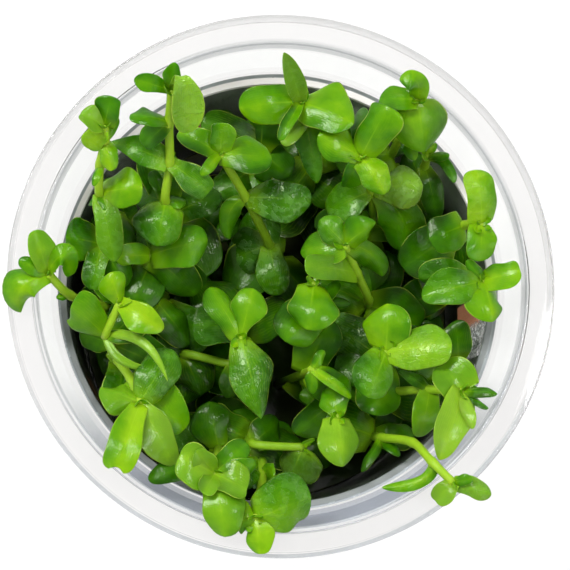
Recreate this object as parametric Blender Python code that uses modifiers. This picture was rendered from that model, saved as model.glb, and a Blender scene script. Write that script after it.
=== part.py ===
"""Tissue-culture lemon bacopa in its clear cup.

A crowd of upright stems with opposite, spoon-shaped leaves stands in dark nutrient gel on the floor of a
clear, tapering cup with a wide flat rim. A plain dark sleeve is wrapped round the lower body of the cup.
The origin is the centre of the cup's base, +Z is up, and -Y is the side nearest the viewer.
"""
import math

import bmesh
import bpy
from mathutils import Quaternion, Vector

MM = 0.001
MERGE_DISTANCE = 0.01 * MM
UP = Vector((0.0, 0.0, 1.0))

# Driving dimensions of the cup, in millimetres
CUP_HEIGHT = 65.0
RIM_RADIUS = 50.0
RIM_THICKNESS = 1.2
LIP_DROP = 2.6
SEAT_TOP_RADIUS = 44.6
SEAT_STEP_DEPTH = 2.7
SHOULDER_RADIUS = 40.6
SHOULDER_HEIGHT = 54.5
BODY_TOP_RADIUS = 39.5
BODY_FOOT_RADIUS = 35.3
WALL = 1.0
FLOOR_CORNER = 2.0
FOOT_CHAMFER = 2.2
RIM_CHAMFER = 0.6
SEAT_ROUNDING = 0.6
SEAT_DRAFT = 0.2
LEDGE_DROP = 0.7
TURN_STEPS = 32

# The gap left between pieces that touch
TOUCH_GAP = 0.3

# The dark sleeve round the lower body
SLEEVE_FOOT = 6.0
SLEEVE_TOP = 50.2
SLEEVE_THICKNESS = 0.4
SLEEVE_GAP_DEGREES = 10.0
SLEEVE_GAP_MIDDLE = -12.0

# The nutrient gel
GEL_TOP = 16.0

# Stems and leaves
STEM_RADIUS = 1.1
STEM_TIP_SHARE = 0.8
BUD_LENGTH = 0.9
LEAF_THICKNESS = 0.6
LEAF_FOOT_WIDTH = 1.0
WIDEST_AT = 0.62
SWELL_POWER = 1.3
TIP_SHARE = 0.5
LEAF_ARCH = 0.20
LEAF_CUP = -0.16
LONG_LEAF = 6.0
BROAD_LEAF = 5.5
ROW_CROWDING = 1.15
STEM_INSET = 0.3

# The leaves' and nodes' places are read on the plane of the rim, as seen from this viewpoint in
# millimetres, and are then moved along the line of sight to their own height.
VIEWPOINT = Vector((-33.0, -67.0, 515.0))


def leaf(node, x, y, z, width, over=None, via=None, cup=LEAF_CUP):
    """A leaf from a stem's node to a tip read at x, y and standing at height z. A leaf that arches over
    has its highest bend at over, and one that bends sideways has its bend at via."""
    return {"node": node, "tip": (x, y, z), "width": width, "over": over, "via": via, "cup": cup}


# One stem each: where it stands on the gel, its nodes from the lowest up, and its leaves
SHOOTS = {
    "shoot_west_rim": {
        "root": (-22.0, -3.0),
        "nodes": [(-33.0, -4.4, 53.0), (-38.7, -2.4, 65.5), (-42.6, 1.5, 70.0)],
        "leaves": [
            leaf(2, -45.2, 9.4, 76.0, 4.6),
            leaf(2, -38.2, 4.4, 75.0, 4.2),
            leaf(2, -47.9, 3.9, 72.0, 2.9),
            leaf(2, -48.6, -4.6, 67.5, 6.4),
            leaf(1, -41.1, -2.9, 66.5, 1.6),
        ],
    },
    "shoot_northwest_outer": {
        "root": (-22.0, 14.0),
        "nodes": [(-33.2, 16.2, 65.0), (-33.2, 21.5, 69.5), (-32.3, 26.1, 73.0), (-32.4, 28.8, 75.5)],
        "leaves": [
            leaf(3, -36.8, 31.0, 78.0, 3.8),
            leaf(3, -31.1, 34.4, 80.0, 4.1),
            leaf(2, -30.0, 30.6, 74.0, 2.1),
            leaf(3, -35.4, 24.6, 72.0, 3.1),
            leaf(2, -31.2, 20.4, 72.0, 2.7),
            leaf(1, -34.4, 17.6, 70.5, 1.6),
            leaf(0, -25.4, 17.4, 69.0, 6.4),
            leaf(0, -31.6, 13.4, 66.0, 2.6),
            leaf(0, -31.0, 3.7, 63.0, 5.1),
        ],
    },
    "shoot_northwest_tall": {
        "root": (-13.5, 15.0),
        "nodes": [(-21.3, 14.8, 63.0), (-20.5, 22.0, 70.0), (-20.6, 29.5, 77.0), (-20.1, 35.4, 82.0)],
        "leaves": [
            leaf(3, -19.6, 40.8, 86.0, 3.2),
            leaf(3, -17.4, 27.7, 80.0, 5.2, over=(-17.4, 42.0, 95.0), cup=0.0),
            leaf(3, -27.0, 37.4, 84.0, 3.1),
            leaf(2, -27.7, 30.9, 80.0, 3.9),
            leaf(2, -25.2, 25.1, 73.0, 3.6),
            leaf(1, -31.0, 25.4, 68.2, 4.8),
            leaf(1, -13.5, 16.4, 67.0, 4.5),
            leaf(0, -17.6, 15.0, 62.0, 3.0),
            leaf(0, -23.8, 20.4, 63.5, 2.6),
            leaf(0, -23.1, 6.5, 61.0, 8.4),
        ],
    },
    "shoot_north_northwest": {
        "root": (2.0, 9.0),
        "nodes": [(-2.4, 6.8, 47.0), (-6.6, 15.5, 58.0), (-11.3, 23.6, 67.0)],
        "leaves": [
            leaf(2, -10.9, 29.5, 71.0, 4.6),
            leaf(2, -1.8, 22.8, 67.5, 7.2),
            leaf(2, -18.9, 27.7, 66.5, 3.3),
            leaf(2, -14.8, 19.6, 70.0, 1.9),
            leaf(1, 5.3, 14.6, 60.0, 7.4),
            leaf(1, -9.6, 7.9, 53.0, 2.6, via=(-11.0, 14.2, 58.0)),
            leaf(0, -9.8, 3.9, 42.0, 8.0),
            leaf(0, -0.9, -2.5, 46.0, 5.6),
        ],
    },
    "shoot_north": {
        "root": (7.0, 21.0),
        "nodes": [(5.6, 23.5, 50.0), (4.4, 30.0, 63.0), (3.6, 33.4, 67.5)],
        "leaves": [
            leaf(2, -7.7, 32.1, 69.0, 7.2),
            leaf(2, 0.2, 42.9, 79.0, 3.9, cup=0.5),
            leaf(2, 13.1, 29.6, 70.5, 9.6),
            leaf(2, -0.4, 26.3, 70.5, 1.9),
            leaf(1, 0.2, 25.4, 64.5, 3.1),
            leaf(1, 6.4, 18.2, 58.0, 4.5),
        ],
    },
    "shoot_north_back": {
        "root": (-6.0, 22.0),
        "nodes": [(-3.8, 24.2, 49.0)],
        "leaves": [
            leaf(0, -14.5, 30.0, 53.0, 5.4),
            leaf(0, 1.4, 19.4, 48.0, 7.4),
            leaf(0, -3.4, 31.4, 53.0, 6.2),
        ],
    },
    "shoot_north_northeast": {
        "root": (16.5, 14.5),
        "nodes": [(16.5, 11.0, 48.0), (16.4, 16.9, 58.0), (14.6, 23.2, 66.0)],
        "leaves": [
            leaf(2, 6.7, 25.9, 67.5, 5.8),
            leaf(2, 18.9, 16.2, 66.0, 5.2),
            leaf(2, 11.8, 17.6, 61.5, 4.2),
            leaf(2, 14.6, 32.2, 62.5, 4.2),
            leaf(2, 20.6, 31.0, 72.5, 7.0),
            leaf(1, 26.0, 18.0, 61.0, 8.0),
            leaf(1, 20.8, 5.0, 51.0, 7.8),
            leaf(1, 8.3, 12.8, 55.5, 6.4),
            leaf(0, 15.0, 11.6, 55.0, 3.4),
        ],
    },
    "shoot_northeast_rim": {
        "root": (20.0, 22.0),
        "nodes": [(22.4, 27.8, 60.0), (25.2, 34.0, 72.0)],
        "leaves": [
            leaf(1, 22.0, 37.8, 77.0, 3.8, via=(26.8, 39.0, 80.0)),
            leaf(1, 25.9, 24.1, 66.5, 10.4, cup=-0.3),
            leaf(1, 18.2, 34.0, 71.0, 3.6),
            leaf(0, 24.6, 22.6, 60.5, 3.0),
        ],
    },
    "shoot_northeast_wall": {
        "root": (25.0, 16.5),
        "nodes": [(26.3, 21.4, 54.0), (27.0, 23.4, 58.0)],
        "leaves": [
            leaf(1, 31.8, 18.4, 60.0, 2.2, via=(31.0, 23.0, 60.5)),
            leaf(1, 31.0, 23.4, 62.5, 1.9),
            leaf(0, 28.4, 11.7, 50.0, 4.6),
        ],
    },
    "shoot_east_upper": {
        "root": (28.5, 9.0),
        "nodes": [(33.5, 10.5, 60.0), (36.7, 10.7, 70.0)],
        "leaves": [
            leaf(1, 35.8, 20.9, 74.0, 6.2),
            leaf(1, 36.2, 3.8, 70.0, 5.8),
            leaf(0, 27.0, 7.8, 61.0, 6.4),
        ],
    },
    "shoot_east_rim": {
        "root": (28.5, 1.0),
        "nodes": [(34.6, 0.6, 57.0), (36.8, 0.1, 65.0)],
        "leaves": [
            leaf(1, 43.7, 2.1, 69.0, 5.0),
            leaf(1, 25.4, -2.8, 64.5, 6.2),
            leaf(1, 38.2, -7.4, 67.0, 7.0),
            leaf(1, 33.7, 3.9, 66.8, 2.2),
            leaf(0, 24.9, 0.6, 56.0, 5.2),
        ],
    },
    "shoot_east_wall": {
        "root": (27.0, -9.0),
        "nodes": [(31.8, -14.6, 49.0)],
        "leaves": [
            leaf(0, 31.4, -7.2, 53.0, 5.0),
            leaf(0, 27.0, -9.6, 51.0, 4.4),
        ],
    },
    "shoot_centre_east": {
        "root": (19.0, -1.0),
        "nodes": [(15.6, -3.4, 47.0), (13.6, 1.6, 55.0), (11.4, 6.9, 61.0)],
        "leaves": [
            leaf(2, 3.3, 5.6, 60.0, 6.2),
            leaf(2, 6.8, 11.4, 62.0, 4.4),
            leaf(2, 17.2, 11.0, 63.0, 4.4),
            leaf(2, 15.6, -0.4, 56.0, 4.4),
            leaf(1, 4.0, 2.9, 64.0, 4.8),
        ],
    },
    "shoot_centre": {
        "root": (10.0, -9.5),
        "nodes": [(7.0, -11.5, 45.0), (6.0, -4.0, 56.0), (5.6, -0.3, 61.0)],
        "leaves": [
            leaf(2, 4.2, -8.8, 63.5, 8.6),
            leaf(1, 0.2, -10.9, 59.5, 8.2),
            leaf(1, 12.5, -4.0, 53.5, 2.4),
            leaf(1, 10.4, 0.0, 52.0, 2.6),
        ],
    },
    "shoot_centre_west": {
        "root": (-7.0, -5.5),
        "nodes": [(-7.2, -8.4, 50.0), (-7.8, -10.3, 60.5)],
        "leaves": [
            leaf(1, -13.4, -1.0, 59.0, 4.9),
            leaf(0, -16.4, -8.0, 52.0, 6.6),
            leaf(1, -3.8, -25.0, 60.5, 7.8, cup=-0.3),
            leaf(1, -5.5, -1.2, 62.0, 6.0),
        ],
    },
    "shoot_east_centre": {
        "root": (17.0, -12.5),
        "nodes": [(18.0, -14.5, 50.0), (18.6, -12.8, 61.0)],
        "leaves": [
            leaf(1, 19.0, -4.0, 63.0, 8.6),
            leaf(1, 30.8, -11.6, 66.5, 8.2),
            leaf(1, 15.2, -21.2, 63.5, 7.0),
            leaf(0, 16.2, -24.4, 56.5, 7.4),
            leaf(0, 7.8, -7.2, 46.5, 6.4),
            leaf(0, 9.2, -15.6, 49.0, 5.8),
        ],
    },
    "shoot_southeast": {
        "root": (19.0, -19.0),
        "nodes": [(19.5, -20.3, 51.5), (26.4, -19.8, 58.5), (32.6, -20.2, 64.0)],
        "leaves": [
            leaf(1, 24.5, -28.4, 58.0, 5.1),
            leaf(1, 21.0, -16.4, 58.0, 2.6),
            leaf(2, 28.0, -32.6, 65.6, 6.2),
            leaf(2, 34.2, -27.0, 67.5, 2.2),
            leaf(2, 28.8, -15.0, 62.0, 7.4),
            leaf(2, 38.9, -20.6, 68.0, 2.4),
            leaf(2, 37.2, -23.3, 67.0, 1.7),
        ],
    },
    "shoot_southeast_rim": {
        "root": (15.0, -22.5),
        "nodes": [(17.6, -28.5, 53.0), (23.2, -29.4, 62.0), (26.8, -33.0, 69.2), (30.4, -36.7, 70.5)],
        "leaves": [
            leaf(2, 17.5, -37.5, 66.8, 2.4, via=(27.6, -36.9, 68.4)),
            leaf(3, 27.1, -39.9, 69.0, 3.8),
            leaf(3, 34.1, -36.1, 72.5, 2.1),
            leaf(3, 37.4, -38.9, 70.5, 3.5),
            leaf(0, 13.8, -34.6, 55.5, 2.1),
            leaf(0, 20.9, -31.8, 56.5, 2.3),
        ],
    },
    "shoot_south_centre": {
        "root": (8.0, -20.0),
        "nodes": [(9.0, -22.0, 49.0), (9.6, -24.6, 60.0)],
        "leaves": [
            leaf(1, 10.5, -33.7, 61.0, 8.0),
            leaf(1, 8.6, -19.2, 58.5, 4.4),
            leaf(0, 1.8, -27.6, 53.5, 6.4),
            leaf(0, 2.8, -20.6, 49.5, 4.2),
        ],
    },
    "shoot_south_inner": {
        "root": (2.5, -13.5),
        "nodes": [(5.2, -16.1, 61.0)],
        "leaves": [
            leaf(0, 7.4, -12.6, 61.5, 2.0),
            leaf(0, 12.2, -21.2, 62.0, 2.6),
            leaf(0, 4.9, -20.4, 59.0, 2.6),
        ],
    },
    "shoot_south_southwest": {
        "root": (-9.0, -22.5),
        "nodes": [(-12.2, -32.0, 58.0), (-12.7, -34.9, 66.5)],
        "leaves": [
            leaf(1, -19.0, -31.6, 69.5, 7.0),
            leaf(1, -6.9, -37.8, 68.5, 6.2),
            leaf(1, -10.9, -46.2, 68.0, 6.4),
            leaf(1, -6.8, -29.3, 66.0, 3.8),
            leaf(1, -5.2, -33.2, 67.5, 3.0),
            leaf(0, -24.6, -35.8, 64.5, 4.6),
        ],
    },
    "shoot_south_rim": {
        "root": (-1.5, -25.0),
        "nodes": [(-4.0, -35.0, 57.0), (-5.3, -42.9, 67.2)],
        "leaves": [
            leaf(1, 4.7, -39.1, 69.0, 10.4),
            leaf(1, -9.7, -42.4, 66.8, 4.2),
            leaf(1, -4.7, -49.5, 67.0, 5.0),
            leaf(0, -5.8, -36.6, 62.0, 3.7),
            leaf(0, -1.8, -34.0, 61.0, 3.8),
        ],
    },
    "shoot_south_back": {
        "root": (-2.0, -19.0),
        "nodes": [(-5.8, -29.4, 50.0), (3.3, -30.2, 52.5)],
        "leaves": [
            leaf(1, 0.6, -36.2, 49.5, 7.0),
            leaf(0, -1.0, -25.4, 47.0, 5.4),
        ],
    },
    "shoot_southwest": {
        "root": (-20.0, -14.0),
        "nodes": [(-30.0, -14.3, 57.0), (-27.7, -17.6, 61.5), (-26.0, -22.0, 66.0)],
        "leaves": [
            leaf(2, -33.1, -19.2, 67.0, 6.2),
            leaf(2, -31.2, -33.6, 68.0, 7.0),
            leaf(2, -21.2, -33.2, 67.0, 6.6),
            leaf(1, -18.2, -27.0, 62.0, 7.0),
            leaf(1, -21.4, -11.7, 62.5, 9.4),
        ],
    },
    "shoot_west_edge": {
        "root": (-24.0, -8.5),
        "nodes": [(-32.2, -9.8, 64.0), (-29.6, -4.0, 68.0)],
        "leaves": [
            leaf(0, -38.4, -4.6, 70.5, 7.8),
            leaf(1, -31.4, 1.7, 71.0, 4.8),
            leaf(1, -21.9, -8.9, 70.0, 5.0),
            leaf(0, -21.0, -18.2, 66.5, 1.6, via=(-25.0, -8.0, 67.5)),
            leaf(0, -26.2, -10.3, 66.0, 2.5),
            leaf(0, -25.7, -15.2, 64.0, 2.2, via=(-31.4, -14.4, 64.0)),
        ],
    },
    "shoot_west_back": {
        "root": (-27.0, 6.0),
        "nodes": [(-33.0, 6.9, 57.5)],
        "leaves": [
            leaf(0, -39.4, 8.2, 62.0, 7.4),
            leaf(0, -34.6, -1.4, 58.0, 4.4),
            leaf(0, -28.6, -1.0, 55.0, 6.0),
        ],
    },
    "shoot_northwest_inner": {
        "root": (-18.5, 7.0),
        "nodes": [(-24.2, 4.8, 56.0)],
        "leaves": [
            leaf(0, -13.6, 7.6, 58.0, 7.2),
            leaf(0, -30.4, 4.4, 59.5, 3.2),
            leaf(0, -15.8, -2.4, 50.0, 7.0),
            leaf(0, -25.6, 11.6, 53.0, 5.4),
        ],
    },
    "shoot_west_inner": {
        "root": (-15.0, -8.0),
        "nodes": [(-23.2, -3.4, 51.0)],
        "leaves": [
            leaf(0, -17.0, -11.4, 48.0, 5.8),
            leaf(0, -28.4, -6.4, 53.0, 5.0),
        ],
    },
    "shoot_south_low": {
        "root": (-12.0, -13.0),
        "nodes": [(-18.0, -13.2, 46.5), (-9.4, -15.2, 49.0)],
        "leaves": [
            leaf(1, -10.0, -21.2, 47.0, 4.2),
            leaf(0, -15.2, -20.6, 45.0, 6.6),
        ],
    },
}


def material(name, colour, roughness, see_through=0.0):
    """A Principled material."""
    made = bpy.data.materials.new(name)
    made.use_nodes = True
    shader = made.node_tree.nodes["Principled BSDF"]
    shader.inputs["Base Color"].default_value = (*colour, 1.0)
    shader.inputs["Roughness"].default_value = roughness
    shader.inputs["Metallic"].default_value = 0.0
    shader.inputs["Transmission Weight"].default_value = see_through
    return made


def add_object(name, mesh, collection):
    made = bpy.data.objects.new(name, mesh)
    collection.objects.link(made)
    return made


def turned(name, profile, collection, degrees=360.0, start=0.0):
    """A profile of (radius, height) points in millimetres, turned round the Z axis by a Screw modifier."""
    spin = Quaternion(UP, math.radians(start))
    mesh = bpy.data.meshes.new(name)
    points = [spin @ Vector((radius, 0.0, height)) * MM for radius, height in profile]
    mesh.from_pydata(points, [(i, i + 1) for i in range(len(points) - 1)], [])
    made = add_object(name, mesh, collection)
    screw = made.modifiers.new("turn", "SCREW")
    screw.axis = "Z"
    screw.angle = math.radians(degrees)
    screw.steps = TURN_STEPS
    screw.render_steps = TURN_STEPS
    screw.use_merge_vertices = True
    screw.merge_threshold = MERGE_DISTANCE
    screw.use_smooth_shade = True
    return made


def body_radius(height):
    """The inner radius of the lower body at a height."""
    share = (height - WALL) / (SHOULDER_HEIGHT - WALL)
    return BODY_FOOT_RADIUS + (BODY_TOP_RADIUS - BODY_FOOT_RADIUS) * share


def make_jar(collection):
    """The inside from the floor's middle up to the rim, then the rim, then the outside down to the base."""
    seat_foot = CUP_HEIGHT - SEAT_STEP_DEPTH
    rim_foot = CUP_HEIGHT - RIM_THICKNESS
    lip_foot = CUP_HEIGHT - LIP_DROP
    ledge_inner = body_radius(SHOULDER_HEIGHT - WALL)
    inside = [
        (0.0, WALL),
        (BODY_FOOT_RADIUS - FLOOR_CORNER, WALL),
        (BODY_FOOT_RADIUS, WALL + FLOOR_CORNER),
        (ledge_inner, SHOULDER_HEIGHT - LEDGE_DROP),
        (SHOULDER_RADIUS, SHOULDER_HEIGHT),
        (SEAT_TOP_RADIUS - SEAT_ROUNDING, seat_foot),
        (SEAT_TOP_RADIUS, seat_foot + SEAT_ROUNDING),
        (SEAT_TOP_RADIUS + SEAT_DRAFT, CUP_HEIGHT),
    ]
    rim = [
        (RIM_RADIUS - RIM_CHAMFER, CUP_HEIGHT),
        (RIM_RADIUS, CUP_HEIGHT - RIM_CHAMFER),
        (RIM_RADIUS, lip_foot),
        (RIM_RADIUS - WALL, lip_foot),
        (RIM_RADIUS - WALL, rim_foot),
    ]
    outside = [
        (SEAT_TOP_RADIUS + WALL, rim_foot),
        (SEAT_TOP_RADIUS + WALL - SEAT_ROUNDING, seat_foot - SEAT_ROUNDING),
        (SHOULDER_RADIUS + WALL, SHOULDER_HEIGHT - LEDGE_DROP),
        (ledge_inner + WALL, SHOULDER_HEIGHT - LEDGE_DROP - WALL),
        (BODY_FOOT_RADIUS + WALL, FOOT_CHAMFER),
        (BODY_FOOT_RADIUS + WALL - FOOT_CHAMFER, 0.0),
        (0.0, 0.0),
    ]
    jar = turned("jar", inside + rim + outside, collection)
    jar.data.materials.append(material("clear_plastic", (0.95, 0.96, 0.96), 0.08, see_through=1.0))


def make_sleeve(collection):
    """The sleeve is an open band with Solidify. Its ends leave a gap at the lower right."""
    clearance = WALL + TOUCH_GAP + SLEEVE_THICKNESS / 2
    profile = [(body_radius(height) + clearance, height) for height in (SLEEVE_TOP, SLEEVE_FOOT)]
    start = SLEEVE_GAP_MIDDLE + SLEEVE_GAP_DEGREES / 2
    sleeve = turned("sleeve", profile, collection, 360.0 - SLEEVE_GAP_DEGREES, start)
    shell = sleeve.modifiers.new("thickness", "SOLIDIFY")
    shell.thickness = SLEEVE_THICKNESS * MM
    shell.offset = 0.0
    sleeve.data.materials.append(material("dark_sleeve", (0.012, 0.016, 0.012), 0.45))


def make_gel(collection):
    foot = WALL + TOUCH_GAP
    profile = [
        (0.0, GEL_TOP),
        (body_radius(GEL_TOP) - TOUCH_GAP, GEL_TOP),
        (BODY_FOOT_RADIUS - TOUCH_GAP, foot + FLOOR_CORNER),
        (BODY_FOOT_RADIUS - FLOOR_CORNER - TOUCH_GAP, foot),
        (0.0, foot),
    ]
    gel = turned("nutrient_gel", profile, collection)
    gel.data.materials.append(material("gel", (0.02, 0.022, 0.015), 0.12))


def seen_at(x, y, z):
    """The point at height z that the viewpoint sees at x, y on the plane of the rim."""
    on_rim = Vector((x, y, CUP_HEIGHT))
    return VIEWPOINT + (on_rim - VIEWPOINT) * ((VIEWPOINT.z - z) / (VIEWPOINT.z - CUP_HEIGHT))


def stem_points(shoot):
    """The stem rises from the gel through its nodes and ends in a short bud."""
    points = [Vector((*shoot["root"], GEL_TOP + TOUCH_GAP))]
    points += [seen_at(*place) for place in shoot["nodes"]]
    points.append(points[-1] + (points[-1] - points[-2]).normalized() * BUD_LENGTH)
    return points


def make_stem(name, points, collection):
    """A tapering tube along the nodes, turned into a mesh so that its leaves can be joined to it."""
    curve = bpy.data.curves.new(name, "CURVE")
    curve.dimensions = "3D"
    curve.bevel_depth = STEM_RADIUS * MM
    curve.bevel_resolution = 1
    curve.use_fill_caps = True
    line = curve.splines.new("POLY")
    line.points.add(len(points) - 1)
    for number, (point, place) in enumerate(zip(line.points, points)):
        point.co = (*(place * MM), 1.0)
        point.radius = 1.0 - (1.0 - STEM_TIP_SHARE) * number / (len(points) - 1)
    guide = add_object(name + "_line", curve, collection)
    bpy.context.view_layer.update()
    evaluated = guide.evaluated_get(bpy.context.evaluated_depsgraph_get())
    mesh = bpy.data.meshes.new_from_object(evaluated)
    mesh.name = name
    bpy.data.objects.remove(guide)
    bpy.data.curves.remove(curve)
    cage = bmesh.new()
    cage.from_mesh(mesh)
    bmesh.ops.remove_doubles(cage, verts=cage.verts, dist=MERGE_DISTANCE)
    cage.to_mesh(mesh)
    cage.free()
    return add_object(name, mesh, collection)


def blade_half_width(share, width):
    """Half the blade's width at a share of its length: narrow at the foot, widest past the middle, and
    rounded at the tip."""
    if share < WIDEST_AT:
        foot = min(LEAF_FOOT_WIDTH / width, 1.0)
        spread = foot + (1.0 - foot) * math.sin(share / WIDEST_AT * math.pi / 2) ** SWELL_POWER
    else:
        past = (share - WIDEST_AT) / (1.0 - WIDEST_AT)
        spread = TIP_SHARE + (1.0 - TIP_SHARE) * math.sqrt(1.0 - past * past)
    return 0.5 * width * spread


def blade_line(base, tip, data):
    """The blade's middle line, its way along and its level way across, as functions of the share of its
    length."""
    if data["over"]:
        bend = seen_at(*data["over"])
    elif data["via"]:
        bend = seen_at(*data["via"])
    else:
        bend = (base + tip) / 2 + UP * LEAF_ARCH * (tip - base).length
    fixed = bend - tip if data["over"] else tip - base

    def middle(share):
        return base * (1 - share) ** 2 + bend * 2 * share * (1 - share) + tip * share ** 2

    def along(share):
        return ((bend - base) * (1 - share) + (tip - bend) * share).normalized()

    def across(share):
        way = along(share) if data["via"] else fixed
        return Vector((way.y, -way.x, 0.0)).normalized()

    return middle, along, across


def make_leaf(name, base, data, collection):
    """A grid bent into a spoon-shaped blade, thickened by Solidify."""
    tip = seen_at(*data["tip"])
    start = base + (tip - base).normalized() * STEM_INSET
    middle, along, across = blade_line(start, tip, data)
    along_steps = 4 if data["over"] else 3 if (tip - base).length > LONG_LEAF else 2
    across_steps = 2 if data["width"] > BROAD_LEAF else 1
    cage = bmesh.new()
    bmesh.ops.create_grid(cage, x_segments=along_steps, y_segments=across_steps, size=0.5)
    for vertex in cage.verts:
        share = (vertex.co.x + 0.5) ** ROW_CROWDING
        side = vertex.co.y * 2
        half = blade_half_width(share, data["width"])
        lift = along(share).cross(across(share)) * -data["cup"] * half * abs(side)
        vertex.co = (middle(share) + across(share) * side * half + lift) * MM
    mesh = bpy.data.meshes.new(name)
    cage.to_mesh(mesh)
    cage.free()
    made = add_object(name, mesh, collection)
    shell = made.modifiers.new("thickness", "SOLIDIFY")
    shell.thickness = LEAF_THICKNESS * MM
    shell.offset = 0.0
    made.hide_render = True
    made.display_type = "WIRE"
    return made


def make_shoot(name, shoot, green, collection, cutters):
    """A stem with its leaves joined to it by one Boolean union."""
    points = stem_points(shoot)
    stem = make_stem(name, points, collection)
    stem.data.materials.append(green)
    blades = bpy.data.collections.new(name + "_leaves")
    cutters.children.link(blades)
    nodes = points[1:-1]
    for number, data in enumerate(shoot["leaves"]):
        make_leaf(f"{name}_leaf_{number}", nodes[data["node"]], data, blades)
    joined = stem.modifiers.new("leaves", "BOOLEAN")
    joined.operation = "UNION"
    joined.operand_type = "COLLECTION"
    joined.collection = blades
    joined.solver = "EXACT"


def main():
    for old in list(bpy.data.objects):
        bpy.data.objects.remove(old)
    plant = bpy.data.collections.new("tissue_culture_lemon_bacopa")
    cutters = bpy.data.collections.new("joined_leaves")
    for collection in (plant, cutters):
        bpy.context.scene.collection.children.link(collection)
    cutters.hide_render = True

    make_jar(plant)
    make_sleeve(plant)
    make_gel(plant)
    green = material("leaf_green", (0.16, 0.40, 0.03), 0.35)
    for name, shoot in SHOOTS.items():
        make_shoot(name, shoot, green, plant, cutters)


main()
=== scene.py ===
"""Looks of the tissue-culture lemon bacopa in its clear cup.

Lengths are in millimetres until a mesh is written, and MM turns them into metres. The origin is the centre
of the cup's base, +Z is up, and -Y is the side nearest the viewer.
"""

import math
import random

import bpy
from mathutils import Color, Matrix, Quaternion, Vector


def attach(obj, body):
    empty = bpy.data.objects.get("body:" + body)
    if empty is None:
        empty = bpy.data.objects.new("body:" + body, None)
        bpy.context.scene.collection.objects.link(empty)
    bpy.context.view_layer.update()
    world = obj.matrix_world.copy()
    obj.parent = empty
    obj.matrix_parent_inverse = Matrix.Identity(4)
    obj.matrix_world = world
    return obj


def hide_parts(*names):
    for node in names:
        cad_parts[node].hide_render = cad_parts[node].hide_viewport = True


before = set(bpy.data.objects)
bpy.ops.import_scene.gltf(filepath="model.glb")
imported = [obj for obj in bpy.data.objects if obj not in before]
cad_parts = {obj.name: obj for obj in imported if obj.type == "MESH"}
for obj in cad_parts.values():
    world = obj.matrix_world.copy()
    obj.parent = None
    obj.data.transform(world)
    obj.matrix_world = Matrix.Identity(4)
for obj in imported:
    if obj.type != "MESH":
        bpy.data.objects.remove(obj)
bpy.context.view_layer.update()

MM = 0.001
UP = Vector((0.0, 0.0, 1.0))

# The cup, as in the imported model
CUP_HEIGHT = 65.0
RIM_RADIUS = 50.0
RIM_THICKNESS = 1.2
LIP_DROP = 2.6
SEAT_TOP_RADIUS = 44.6
SEAT_STEP_DEPTH = 2.7
SHOULDER_RADIUS = 40.6
SHOULDER_HEIGHT = 54.5
BODY_TOP_RADIUS = 39.5
BODY_FOOT_RADIUS = 35.3
WALL = 1.0
FLOOR_CORNER = 2.0
FOOT_CHAMFER = 2.2
LEDGE_DROP = 0.7
SEAT_DRAFT = 0.2
TOUCH_GAP = 0.3
HAIR_GAP = 0.03
SLEEVE_FOOT = 6.0
SLEEVE_TOP = 50.2
SLEEVE_THICKNESS = 0.4
SLEEVE_MIDDLE = BODY_FOOT_RADIUS + WALL + HAIR_GAP + SLEEVE_THICKNESS / 2
SLEEVE_GAP_DEGREES = 10.0
SLEEVE_GAP_MIDDLE = -12.0
GEL_TOP = 16.0

# Coppery bars painted inside the sleeve as (first degree, last degree, lowest, highest, shade), a painted
# reflection that also glows a little as painted light
GLOWING_COPPER_BARS = (
    (-7.0, 1.0, 24.0, 44.0, (236, 164, 124)),
    (30.0, 40.0, 15.0, 27.0, (226, 184, 164)),
    (-158.0, -149.0, 28.0, 42.0, (110, 72, 50)),
    (110.0, 116.0, 22.0, 34.0, (170, 120, 90)),
)
BAR_FADE = 0.5
BAR_PAINTED_GLOW = 0.3

# Rounding of the turned pieces. A fillet takes at most LONGEST_CUT of the lines beside it.
TURN_STEPS = 192
FILLET = 0.35
FILLET_STEPS = 4
LONGEST_CUT = 0.45
MERGE_DISTANCE = 0.00001

# Milky parts of the cup as (inner radius, outer radius, lowest, highest, strength and shade at the back,
# strength and shade at the front, where the one gives way to the other), with soft limits. They are painted
# reflection and shade: grey lines and pale rings where the moulded edges bend the light, mostly darker at the
# front, and a dark foot, painted shade that keeps the bright floor from showing through.
PAINTED_MILKY_BANDS = (
    (49.3, 50.1, 62.3, 64.6, 0.22, (222, 222, 222), 0.22, (188, 194, 198), -24.0),
    (41.4, 44.4, 55.4, 62.2, 0.06, (252, 252, 251), 0.26, (170, 174, 184), -26.0),
    (44.4, 45.4, 61.6, 64.9, 0.22, (204, 206, 208), 0.35, (206, 210, 216), -20.0),
    (40.4, 40.9, 53.9, 55.4, 0.70, (120, 128, 126), 0.60, (176, 182, 188), -10.0),
    (39.2, 40.4, 53.0, 54.8, 1.30, (240, 235, 232), 0.85, (140, 144, 144), 6.0),
    # Painted shade: the cup's foot, painted dark so that the bright floor doesn't show through it
    (30.0, 38.5, -1.0, 5.8, 1.50, (24, 32, 18), 1.50, (24, 32, 18), 0.0),
)
BAND_TURN = 12.0
BAND_FADE = 0.15
HAZE = 0.04
PLASTIC_IOR = 1.02
CLEAR_TINT = (238, 237, 236)

# Mist of fine beads on the cup's wall as (from, to, width of the fade)
MIST_DEGREES = (-17.0, -8.0, 2.0)
MIST_HEIGHTS = (37.0, 48.5, 3.0)
MIST_BEAD = 0.55
MIST_MILK = 0.75
# Painted glints: the beads take a dull shade or a pale sparkle, spread by a noise of the size below
BEAD_SHADE_AND_PAINTED_SPARKLE = ((116, 122, 116), (246, 248, 246))
PAINTED_SPARKLE_SIZE = 0.7

# Shades of the sleeve and the gel, between which they are mottled. The sleeve's inside shades are painted
# lighter than its outside, painted light for the dim inside of the cup.
SLEEVE_OUTSIDE = ((28, 38, 27), (50, 61, 48))
SLEEVE_INSIDE_PAINTED_LIGHTER = ((84, 98, 80), (122, 134, 116))
GEL_SHADES = ((44, 50, 28), (74, 82, 44))

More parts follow.
